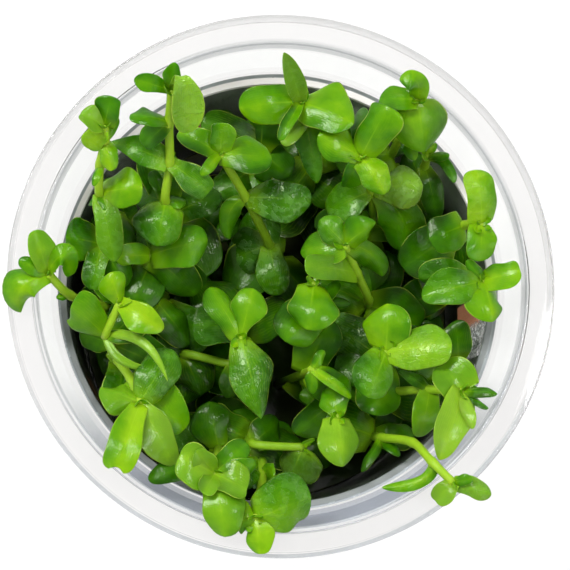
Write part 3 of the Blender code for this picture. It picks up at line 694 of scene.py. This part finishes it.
def leaf_material():
    """Fleshy green blades: tone by leaf, painted shade that darkens the sides and one half of each blade,
    mottling, faint long veins, a pale edge that is partly a painted rim highlight, a paler foot and wet spots
    with a painted sheen."""
    made = Shader("bacopa_leaf")
    along, across, under, tone = made.attribute("place")
    pale, wet, veined, edge_and_rim_highlight = made.attribute("look")
    from_middle = made.math("ABSOLUTE", made.math("SUBTRACT", across, 0.5))
    # Painted shade: each blade lighter along its middle and darker towards its sides
    shade = made.math("ADD", tone, made.math("MULTIPLY_ADD", from_middle, -0.5, 0.1))
    shade = made.math("ADD", shade, made.unevenness(*LEAF_MOTTLE))
    shade = made.math("ADD", shade, made.unevenness(*LEAF_CLOUDS))
    green = made.ramp(shade, LEAF_GREENS)

    wavering = made.math("MULTIPLY_ADD", made.noise(1.6), 0.08, across)
    stripes = made.math("PINGPONG", made.times(wavering, VEIN_COUNT), 0.5)
    ridge = made.step(stripes, 0.25, 0.5)
    broken = made.step(made.noise(1.2, 3.0), 0.35, 0.6)
    green = made.lay(green, LEAF_VEINS, ridge, broken, veined)
    green = made.lay(green, LEAF_RIB, made.step(from_middle, 0.035, 0.0), made.step(along, 0.75, 0.1))
    green = made.lay(green, LEAF_FOOT, made.step(along, 0.34, 0.02))
    # A pale edge on some leaves, partly their own margin and partly a painted rim highlight
    partly = made.step(made.noise(4.0), 0.42, 0.58)
    green = made.lay(green, LEAF_EDGE_AND_RIM_HIGHLIGHT, made.step(from_middle, 0.465, 0.5), edge_and_rim_highlight, partly)
    green = made.lay(green, LEAF_UNDERSIDE, under)
    green = made.lay(green, LEAF_PALE, pale)
    # Wet spots are smoother and beaded, and their pale tint is a painted sheen
    wet_spots = made.times(wet, made.step(made.noise(1.3, 4.0), 0.47, 0.56))
    green = made.lay(green, LEAF_WET_SHEEN, wet_spots)

    rough = made.math("MULTIPLY_ADD", made.noise(0.9), 0.16, 0.30)
    rough = made.math("MULTIPLY_ADD", wet_spots, -0.26, rough, clamp=True)
    skin = made.bump(made.cells(0.35), strength=0.12, depth=0.04)
    ridges = made.bump(ridge, strength=0.12, depth=0.06, below=skin)
    swells = made.bump(made.noise(1.8), strength=0.35, depth=0.35, below=ridges)
    drops = made.bump(wet_spots, strength=0.6, depth=0.18, below=swells)
    made.set(
        Base_Color=green, Roughness=rough, Normal=drops, Specular_IOR_Level=0.12,
        Specular_Tint=(0.7, 1.0, 0.25, 1.0), Subsurface_Weight=0.25, Subsurface_Radius=(0.5, 1.0, 0.1),
        Subsurface_Scale=0.0012, Coat_Weight=0.26, Coat_Roughness=0.17, Coat_Normal=drops,
    )
    return made.material


def stem_material():
    """Pale green stems with fine long ridges, painted darker in the depth of the cup as painted shade."""
    made = Shader("bacopa_stem")
    _, around, _, tone = made.attribute("place")
    ridges = made.math("PINGPONG", made.times(around, STEM_RIDGE_COUNT), 0.5)
    green = made.ramp(made.math("ADD", tone, made.unevenness(*STEM_MOTTLE)), STEM_GREENS)
    green = made.lay(green, STEM_RIDGES, made.step(ridges, 0.3, 0.5))
    made.set(
        Base_Color=green, Roughness=0.4, Specular_IOR_Level=0.2,
        Normal=made.bump(ridges, strength=0.35, depth=0.12),
        Subsurface_Weight=0.25, Subsurface_Radius=(0.6, 1.0, 0.15), Subsurface_Scale=0.0015,
    )
    return made.material


def plastic_material():
    """Clear thin plastic, a little hazy, with milky bands of painted reflection and shade at its moulded
    edges and a misted right side whose beads carry painted glints.
    """
    made = Shader("clear_cup_plastic")
    angle, radius, back, height = made.round_cup()
    milk = HAZE
    shade = CLEAR_TINT
    for low_radius, high_radius, low_height, high_height, *ends, turn in PAINTED_MILKY_BANDS:
        back_strength, back_painted_tint, front_strength, front_painted_tint = ends
        band = made.times(
            made.between(radius, low_radius, high_radius, BAND_FADE),
            made.between(height, low_height, high_height, BAND_FADE),
        )
        # Painted shade: each band turns from its shade at the front to its shade at the back
        to_back = made.step(back, turn - BAND_TURN, turn + BAND_TURN)
        shade = made.mix(band, shade, made.mix(to_back, front_painted_tint, back_painted_tint))
        strength = made.math("MULTIPLY_ADD", to_back, back_strength - front_strength, front_strength)
        milk = made.math("MAXIMUM", milk, made.times(band, strength))

    misted = made.times(made.between(angle, *MIST_DEGREES), made.between(height, *MIST_HEIGHTS))
    beads = made.times(misted, made.step(made.cells(MIST_BEAD), 0.2, 0.5))
    # Painted glints: a noise makes the beads sparkle pale or leaves them dull
    painted_sparkle = made.step(made.noise(PAINTED_SPARKLE_SIZE), 0.5, 0.58)
    shade = made.mix(beads, shade, made.mix(painted_sparkle, *BEAD_SHADE_AND_PAINTED_SPARKLE))
    milk = made.math("MAXIMUM", milk, made.times(beads, MIST_MILK))
    uneven_milk = made.math("MULTIPLY_ADD", made.noise(3.0, 3.0), 0.6, 0.7)
    uneven_milk = made.math("MULTIPLY", milk, uneven_milk, clamp=True)
    made.set(
        Base_Color=shade, Roughness=made.math("MULTIPLY_ADD", uneven_milk, 0.4, 0.02, clamp=True),
        IOR=PLASTIC_IOR, Transmission_Weight=made.math("SUBTRACT", 1.0, uneven_milk, clamp=True),
        Coat_Weight=0.3, Coat_Roughness=0.02, Coat_IOR=1.49,
        Normal=made.bump(made.noise(6.0, 1.0), strength=0.08, depth=0.3),
    )
    return made.material


def sleeve_material():
    """Dark paper with a soft mottling, painted paler inside as painted light, with a few coppery bars there
    that are a painted reflection and glow as painted light.
    """
    made = Shader("plain_dark_sleeve")
    angle, radius, _, height = made.round_cup()
    draft = (BODY_TOP_RADIUS - BODY_FOOT_RADIUS) / (SHOULDER_HEIGHT - WALL)
    middle = made.math("MULTIPLY_ADD", height, draft, SLEEVE_MIDDLE - draft * WALL)
    inner = made.math("LESS_THAN", radius, middle)
    mottled = made.noise(5.0, 3.0)
    # Painted light: the sleeve's inside face takes paler shades than its outside
    tinted = made.mix(inner, made.mix(mottled, *SLEEVE_OUTSIDE), made.mix(mottled, *SLEEVE_INSIDE_PAINTED_LIGHTER))
    painted_glow = 0.0
    # Painted reflection and glow: coppery bars on the inside face, which glow though no lamp is there
    for start, end, low, high, tint in GLOWING_COPPER_BARS:
        inside = made.between(angle, start, end, BAR_FADE)
        bar = made.times(inner, inside, made.between(height, low, high, BAR_FADE))
        tinted = made.mix(bar, tinted, tint)
        painted_glow = made.math("MAXIMUM", painted_glow, bar)
    made.set(
        Base_Color=tinted, Roughness=0.5, Specular_IOR_Level=0.2,
        Emission_Color=tinted, Emission_Strength=made.times(painted_glow, BAR_PAINTED_GLOW),
        Normal=made.bump(made.noise(0.6, 3.0), strength=0.1, depth=0.05),
    )
    return made.material


def gel_material():
    """Dark wet gel with a softly uneven top."""
    made = Shader("dark_nutrient_gel")
    made.set(
        Base_Color=made.mix(made.noise(3.0, 4.0), *GEL_SHADES), Roughness=0.12, IOR=1.34,
        Coat_Weight=0.5, Coat_Roughness=0.05, Normal=made.bump(made.noise(4.0, 3.0), strength=0.4, depth=0.5),
    )
    return made.material


def floor_material():
    """A pale floor that glows enough to stay white under the cup."""
    made = Shader("white_floor")
    made.set(
        Base_Color=FLOOR_SHADE, Roughness=0.6, Specular_IOR_Level=0.1,
        Emission_Color=WHITE, Emission_Strength=FLOOR_GLOW,
    )
    return made.material


def new_object(name, data):
    made = bpy.data.objects.new(name, data)
    bpy.context.scene.collection.objects.link(made)
    return made


def filleted(profile):
    """The same profile with each inner corner rounded by a short arc."""
    rounded = [profile[0]]
    for before, corner, after in zip(profile, profile[1:], profile[2:]):
        corner_point = Vector(corner)
        to_before = Vector(before) - corner_point
        to_after = Vector(after) - corner_point
        half_angle = to_before.angle(to_after) / 2
        room = min(to_before.length, to_after.length) * LONGEST_CUT
        cut = min(FILLET / math.tan(half_angle), room)
        start = corner_point + to_before.normalized() * cut
        end = corner_point + to_after.normalized() * cut
        for step in range(FILLET_STEPS + 1):
            share = step / FILLET_STEPS
            bent = start * (1 - share) ** 2 + corner_point * 2 * share * (1 - share) + end * share ** 2
            rounded.append(tuple(bent))
    rounded.append(profile[-1])
    return rounded


def turned(name, profile, shade, degrees=360.0, start=0.0):
    """A profile of (radius, height) points turned round the Z axis by a Screw modifier."""
    spin = Quaternion(UP, math.radians(start))
    mesh = bpy.data.meshes.new(name)
    points = [spin @ Vector((radius, 0.0, height)) * MM for radius, height in profile]
    mesh.from_pydata(points, [(i, i + 1) for i in range(len(points) - 1)], [])
    mesh.materials.append(shade)
    made = new_object(name, mesh)
    screw = made.modifiers.new("turn", "SCREW")
    screw.axis = "Z"
    screw.angle = math.radians(degrees)
    screw.steps = screw.render_steps = TURN_STEPS
    screw.use_merge_vertices = True
    screw.merge_threshold = MERGE_DISTANCE
    screw.use_smooth_shade = True
    return made


def even_shading(made):
    made.modifiers.new("even_shading", "WEIGHTED_NORMAL")
    return made


def make_jar(shade):
    """The clear cup, from the middle of its floor up the inside, over the rim and down the outside."""
    seat_foot = CUP_HEIGHT - SEAT_STEP_DEPTH
    rim_foot = CUP_HEIGHT - RIM_THICKNESS
    lip_foot = CUP_HEIGHT - LIP_DROP
    ledge_inner = body_radius(SHOULDER_HEIGHT - WALL)
    profile = [
        (0.0, WALL),
        (BODY_FOOT_RADIUS, WALL),
        (ledge_inner, SHOULDER_HEIGHT - LEDGE_DROP),
        (SHOULDER_RADIUS, SHOULDER_HEIGHT),
        (SEAT_TOP_RADIUS, seat_foot),
        (SEAT_TOP_RADIUS + SEAT_DRAFT, CUP_HEIGHT),
        (RIM_RADIUS, CUP_HEIGHT),
        (RIM_RADIUS, lip_foot),
        (RIM_RADIUS - WALL, lip_foot),
        (RIM_RADIUS - WALL, rim_foot),
        (SEAT_TOP_RADIUS + WALL, rim_foot),
        (SEAT_TOP_RADIUS + WALL, seat_foot),
        (SHOULDER_RADIUS + WALL, SHOULDER_HEIGHT - LEDGE_DROP),
        (ledge_inner + WALL, SHOULDER_HEIGHT - LEDGE_DROP - WALL),
        (BODY_FOOT_RADIUS + WALL, FOOT_CHAMFER),
        (BODY_FOOT_RADIUS + WALL - FOOT_CHAMFER, 0.0),
        (0.0, 0.0),
    ]
    return even_shading(turned("clear_cup", filleted(profile), shade))


def make_sleeve(shade):
    """The sleeve's ends leave a gap at the lower right."""
    clearance = SLEEVE_MIDDLE - BODY_FOOT_RADIUS
    profile = [(body_radius(height) + clearance, height) for height in (SLEEVE_TOP, SLEEVE_FOOT)]
    start = SLEEVE_GAP_MIDDLE + SLEEVE_GAP_DEGREES / 2
    sleeve = turned("dark_sleeve", profile, shade, 360.0 - SLEEVE_GAP_DEGREES, start)
    shell = sleeve.modifiers.new("thickness", "SOLIDIFY")
    shell.thickness = SLEEVE_THICKNESS * MM
    shell.offset = 0.0
    return sleeve


def make_gel(shade):
    foot = WALL + TOUCH_GAP
    profile = [
        (0.0, GEL_TOP),
        (body_radius(GEL_TOP) - HAIR_GAP, GEL_TOP),
        (BODY_FOOT_RADIUS - HAIR_GAP, foot + FLOOR_CORNER),
        (BODY_FOOT_RADIUS - FLOOR_CORNER - TOUCH_GAP, foot),
        (0.0, foot),
    ]
    return even_shading(turned("nutrient_gel_top", filleted(profile), shade))


class Skin:
    """Collects the surface of one stem and its leaves, with the numbers that its materials read."""

    def __init__(self):
        self.points = []
        self.faces = []
        self.slots = []
        self.place = []
        self.look = []

    def add(self, point, place, look):
        self.points.append(point * MM)
        self.place.extend(place)
        self.look.extend(look)
        return len(self.points) - 1

    def loft(self, rings, slot):
        """Joins rings of (point, place, look) into a closed skin. A ring of one entry is a pointed end,
        where two corners of a face are the same and count once."""
        rows = [[self.add(*entry) for entry in ring] for ring in rings]
        for lower, upper in zip(rows, rows[1:]):
            for side in range(max(len(lower), len(upper))):
                corners = (
                    lower[side % len(lower)], lower[(side + 1) % len(lower)],
                    upper[(side + 1) % len(upper)], upper[side % len(upper)],
                )
                self.faces.append(tuple(dict.fromkeys(corners)))
                self.slots.append(slot)

    def build(self, name, materials):
        mesh = bpy.data.meshes.new(name)
        mesh.from_pydata(self.points, [], self.faces)
        for shade in materials:
            mesh.materials.append(shade)
        mesh.polygons.foreach_set("material_index", self.slots)
        for label, values in (("place", self.place), ("look", self.look)):
            mesh.attributes.new(label, "FLOAT_COLOR", "POINT").data.foreach_set("color", values)
        mesh.shade_smooth()
        mesh.validate()
        return new_object(name, mesh)


def smooth_line(points):
    """A rounded line through the points, in steps of about STEM_STEP."""
    ends = [points[0] * 2 - points[1], *points, points[-1] * 2 - points[-2]]
    line = []
    for before, start, end, after in zip(ends, ends[1:], ends[2:], ends[3:]):
        length = (end - start).length
        leave = (end - before).normalized() * length
        arrive = (after - start).normalized() * length
        count = max(2, round(length / STEM_STEP))
        for number in range(count):
            t = number / count
            line.append(
                start * (2 * t ** 3 - 3 * t ** 2 + 1) + leave * (t ** 3 - 2 * t ** 2 + t)
                + end * (3 * t ** 2 - 2 * t ** 3) + arrive * (t ** 3 - t ** 2)
            )
    line.append(points[-1])
    return line


def add_stem(skin, line, nodes):
    """A tapering, faintly ridged tube that swells a little at each node."""
    rings = []
    side = Vector((1.0, 0.0, 0.0))
    last = len(line) - 1
    for number, point in enumerate(line):
        way = (line[min(number + 1, last)] - line[max(number - 1, 0)]).normalized()
        side = (side - way * side.dot(way)).normalized()
        front = way.cross(side)
        near = min((point - node).length for node in nodes)
        radius = STEM_RADIUS * (1.0 - (1.0 - STEM_TIP_SHARE) * number / last)
        radius *= 1.0 + NODE_SWELL * math.exp(-(near / NODE_LENGTH) ** 2)
        height = height_share(point.z)
        # Painted shade: the stem is darker low in the cup
        tone = STEM_TONE + STEM_PAINTED_SHADE_RISE * height
        ring = []
        for corner in range(STEM_SIDES):
            turn = 2 * math.pi * corner / STEM_SIDES
            away = side * math.cos(turn) + front * math.sin(turn)
            around = abs(corner / STEM_SIDES * 2 - 1)
            ring.append((point + away * radius, (height, around, 0.0, tone), NO_LOOK))
        rings.append(ring)
    foot_place, tip_place = rings[0][0][1], rings[-1][0][1]
    bud = line[-1] + (line[-1] - line[-2]).normalized() * BUD_LENGTH
    rings.insert(0, [(line[0], foot_place, NO_LOOK)])
    rings.append([(bud, tip_place, NO_LOOK)])
    skin.loft(rings, 1)


def any_shape(chance):
    """How one leaf grew. No two are alike."""
    shape = {name: chance.uniform(*ends) for name, ends in GROWTH_RANGES.items()}
    shape.update({name: chance.choice(options) for name, options in GROWTH_CHOICES.items()})
    return shape | {"pale": 0.0, "notch": 0.0}


def blade_stations(shape):
    """The foot, a swelling blade and a blunt or pointed tip as (share of length, share of width)."""
    foot, widest, blunt = shape["foot"], shape["widest"], shape["blunt"]
    stations = []
    for number in range(FOOT_STATIONS):
        rise = math.sin(number / FOOT_STATIONS * math.pi / 2) ** shape["swell"]
        stations.append((widest * number / FOOT_STATIONS, foot + (1.0 - foot) * rise))
    for number in range(TIP_STATIONS):
        out = math.sin(math.pi / 2 * number / TIP_STATIONS)
        stations.append((widest + (1.0 - widest) * out, (1.0 - out ** blunt) ** (1.0 / blunt)))
    return stations


def add_blade(skin, chance, base, tip, width, tone, bend=None, fixed=None, thick=LEAF_THICKNESS, **given):
    """One fleshy blade along a bent middle line. Its way across is level, at right angles to fixed or, with
    none given, to the line itself."""
    shape = any_shape(chance)
    shape.update(given)
    shape["foot"] = min(max(shape["foot"], LEAST_FOOT / width), 1.0)
    if bend is None:
        bend = (base + tip) / 2 + UP * shape["arch"] * (tip - base).length
        fixed = tip - base
    phase = shape["phase"]
    look = (shape["pale"], shape["wet"], shape["veined"], shape["edge"])
    rings = [[(base, (0.0, 0.5, 0.0, tone), look)]]
    for share, spread in blade_stations(shape):
        middle = base * (1 - share) ** 2 + bend * 2 * share * (1 - share) + tip * share ** 2
        along = ((bend - base) * (1 - share) + (tip - bend) * share).normalized()
        way = fixed if fixed else along
        across = Vector((way.y, -way.x, 0.0)).normalized()
        across = Quaternion(along, math.radians(shape["lean"] + shape["twist"] * share)) @ across
        over = across.cross(along).normalized()
        half = 0.5 * width * spread
        body = thick * (TIP_THICKNESS + (1.0 - TIP_THICKNESS) * (1.0 - share)) * min(1.0, END_TAPER * spread)
        ring = []
        for number in range(LEAF_SIDES):
            turn = 2 * math.pi * number / LEAF_SIDES
            side = math.cos(turn)
            hand = math.copysign(1.0, side)
            bulge = 1.0 + shape["wave"] * math.sin(share * EDGE_RIPPLES + phase * hand)
            bulge += shape["skew"] * hand * math.sin(math.pi * share)
            lift = (shape["cup"] + shape["curl"] * side) * half * abs(side) ** shape["fold"]
            ripple = math.sin(share * FACE_RIPPLES + phase + side * RIPPLE_SLANT)
            lift += shape["wave"] * half * ripple * side * side
            lift += math.sin(turn) * body * 0.5
            if math.sin(turn) > 0:
                lift -= MIDRIB_GROOVE * math.exp(-(side / MIDRIB_WIDTH) ** 2) * math.sin(math.pi * share)
            under = 1.0 if math.sin(turn) < -0.1 else 0.0
            # Painted shade: the tone tilts across the blade, lighter on one half
            place = (share, 0.5 + 0.5 * side, under, tone + shape["sided"] * side)
            reach = along * shape["notch"] * (side * side - 0.5) * share ** NOTCH_POWER
            ring.append((middle + across * side * half * bulge + over * lift + reach, place, look))
        rings.append(ring)
    rings.append([(tip - along * shape["notch"], (1.0, 0.5, 0.0, tone), look)])
    skin.loft(rings, 0)


def add_read_leaf(skin, chance, base, data):
    """A leaf whose tip was read from the picture."""
    tip = seen_at(*data["tip"])
    bent_at = data["over"] or data["via"]
    bend = seen_at(*bent_at) if bent_at else None
    fixed = bend - tip if data["over"] else None
    tone = data["tone"] + chance.uniform(-TONE_SWAY, TONE_SWAY)
    add_blade(skin, chance, base, tip, data["width"], tone, bend, fixed, **data["shape"])


def add_crown(skin, chance, top, way):
    """Two crossed pairs of small folded leaves at the growing tip."""
    side = way.orthogonal().normalized()
    for number in range(CROWN_COUNT):
        quarter = 360.0 / CROWN_COUNT * number
        out = Quaternion(way, math.radians(quarter + chance.uniform(-CROWN_SWAY, CROWN_SWAY))) @ side
        length = chance.uniform(*(CROWN_SHORT if number % 2 else CROWN_LONG))
        tip = top + (way * CROWN_TIP[0] + out * CROWN_TIP[1]).normalized() * length
        to_bend = (way * CROWN_BEND[0] + out * CROWN_BEND[1]).normalized()
        bend = top + to_bend * length * CROWN_BEND_SHARE
        add_blade(skin, chance, top, tip, length * CROWN_WIDTH_SHARE, CROWN_TONE, bend, out, **CROWN_LOOK)


def in_hollow(base, tip):
    """Whether a leaf would cover one of the dark gaps."""
    places = [on_rim_plane(base.lerp(tip, share)).xy for share in PROBED_SHARES]
    return any(
        (place - Vector(middle)).length < radius + HOLLOW_MARGIN
        for place in places for *middle, radius in HOLLOWS
    )


def add_lower_pairs(skin, chance, line, height):
    """Opposite pairs down the stem from a height, each pair crossing the one above it, kept off the cup's
    wall and out of the hollows."""
    heading = chance.uniform(0.0, math.pi)
    while height > LOWEST_PAIR:
        base = min(line, key=lambda place: abs(place.z - height))
        heading += math.pi / 2 + chance.uniform(-PAIR_SWAY, PAIR_SWAY)
        for turn in (heading, heading + math.pi + chance.uniform(-PAIR_SWAY, PAIR_SWAY)):
            out = Vector((math.cos(turn), math.sin(turn), 0.0))
            length = chance.uniform(*LOWER_LENGTH)
            room = body_radius(height) - WALL_ROOM
            while length > SHORTEST_LOWER and (base + out * length).xy.length > room:
                length -= LENGTH_STEP
            tip = base + out * length + UP * chance.uniform(*LOWER_RISE) * length
            # Painted shade: deeper leaves are given a darker tone
            tone = LOWER_TONE + LOWER_PAINTED_SHADE_RISE * height_share(height) + chance.uniform(-TONE_SWAY, TONE_SWAY)
            width = length * chance.uniform(*LOWER_WIDTH_SHARE)
            if not in_hollow(base, tip):
                add_blade(skin, chance, base, tip, width, tone)
        height -= PAIR_SPACING * chance.uniform(*SPACING_SWAY)


def dress(made, node):
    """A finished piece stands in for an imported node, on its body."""
    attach(made, "root")
    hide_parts(node)


def make_shoot(node, data, materials):
    """One stem with all its leaves as one closed-up skin."""
    chance = random.Random(node)
    skin = Skin()
    root = Vector((*data["root"], GEL_TOP + TOUCH_GAP))
    nodes = [seen_at(*place) for place in data["nodes"]]
    line = smooth_line([root, *nodes])
    add_stem(skin, line, [root, *nodes])
    for leaf_data in data["leaves"]:
        add_read_leaf(skin, chance, nodes[leaf_data["node"]], leaf_data)
    if len(nodes) > 1:
        add_crown(skin, chance, nodes[-1], (nodes[-1] - nodes[-2]).normalized())
    drop = DEEPER_DROP if data["bare"] else FIRST_DROP
    add_lower_pairs(skin, chance, line, nodes[0].z - drop)
    dress(skin.build(node.replace("shoot_", "grown_"), materials), node)


def make_floor():
    bpy.ops.mesh.primitive_plane_add(size=FLOOR_SIZE, location=(0.0, 0.0, 0.0))
    floor = bpy.context.object
    floor.name = "floor"
    floor.data.materials.append(floor_material())


def make_light(name, place, width, power):
    """A soft round panel aimed at the cup."""
    data = bpy.data.lights.new(name, "AREA")
    data.shape = "DISK"
    data.size = width
    data.energy = power
    made = new_object(name, data)
    made.location = place
    made.rotation_euler = (LIGHT_AIM - Vector(place)).to_track_quat("-Z", "Y").to_euler()


def make_world():
    """Soft studio surroundings, bright at the horizon and dimmer overhead."""
    world = bpy.data.worlds.new("studio")
    world.use_nodes = True
    nodes = world.node_tree.nodes
    links = world.node_tree.links
    direction = nodes.new("ShaderNodeTexCoord").outputs["Generated"]
    parts = nodes.new("ShaderNodeSeparateXYZ")
    links.new(direction, parts.inputs[0])
    fade = nodes.new("ShaderNodeMapRange")
    fade.interpolation_type = "SMOOTHSTEP"
    limits = {"From Min": SKY_FADE[0], "From Max": SKY_FADE[1], "To Min": HORIZON, "To Max": ZENITH}
    for name, value in limits.items():
        fade.inputs[name].default_value = value
    links.new(parts.outputs[2], fade.inputs["Value"])
    links.new(fade.outputs["Result"], nodes["Background"].inputs["Strength"])
    nodes["Background"].inputs["Color"].default_value = WHITE
    bpy.context.scene.world = world


def make_camera():
    """The camera stands at the viewpoint, with the picture's up side level with +Y."""
    data = bpy.data.cameras.new("camera")
    data.sensor_width = SENSOR_WIDTH
    data.lens = FOCAL_LENGTH
    view = (AIM - VIEWPOINT).normalized()
    right = Vector((1.0, 0.0, 0.0))
    right = (right - view * right.dot(view)).normalized()
    camera = new_object("camera", data)
    camera.location = VIEWPOINT * MM
    camera.rotation_euler = Matrix((right, right.cross(view), -view)).transposed().to_euler()
    bpy.context.scene.camera = camera


dress(make_jar(plastic_material()), "jar")
dress(make_sleeve(sleeve_material()), "sleeve")
dress(make_gel(gel_material()), "nutrient_gel")
plant_materials = (leaf_material(), stem_material())
for shoot_name, shoot_data in SHOOTS.items():
    make_shoot(shoot_name, shoot_data, plant_materials)

make_floor()
for light in LIGHTS:
    make_light(*light)
make_world()
make_camera()
bpy.context.scene.view_settings.view_transform = "Standard"
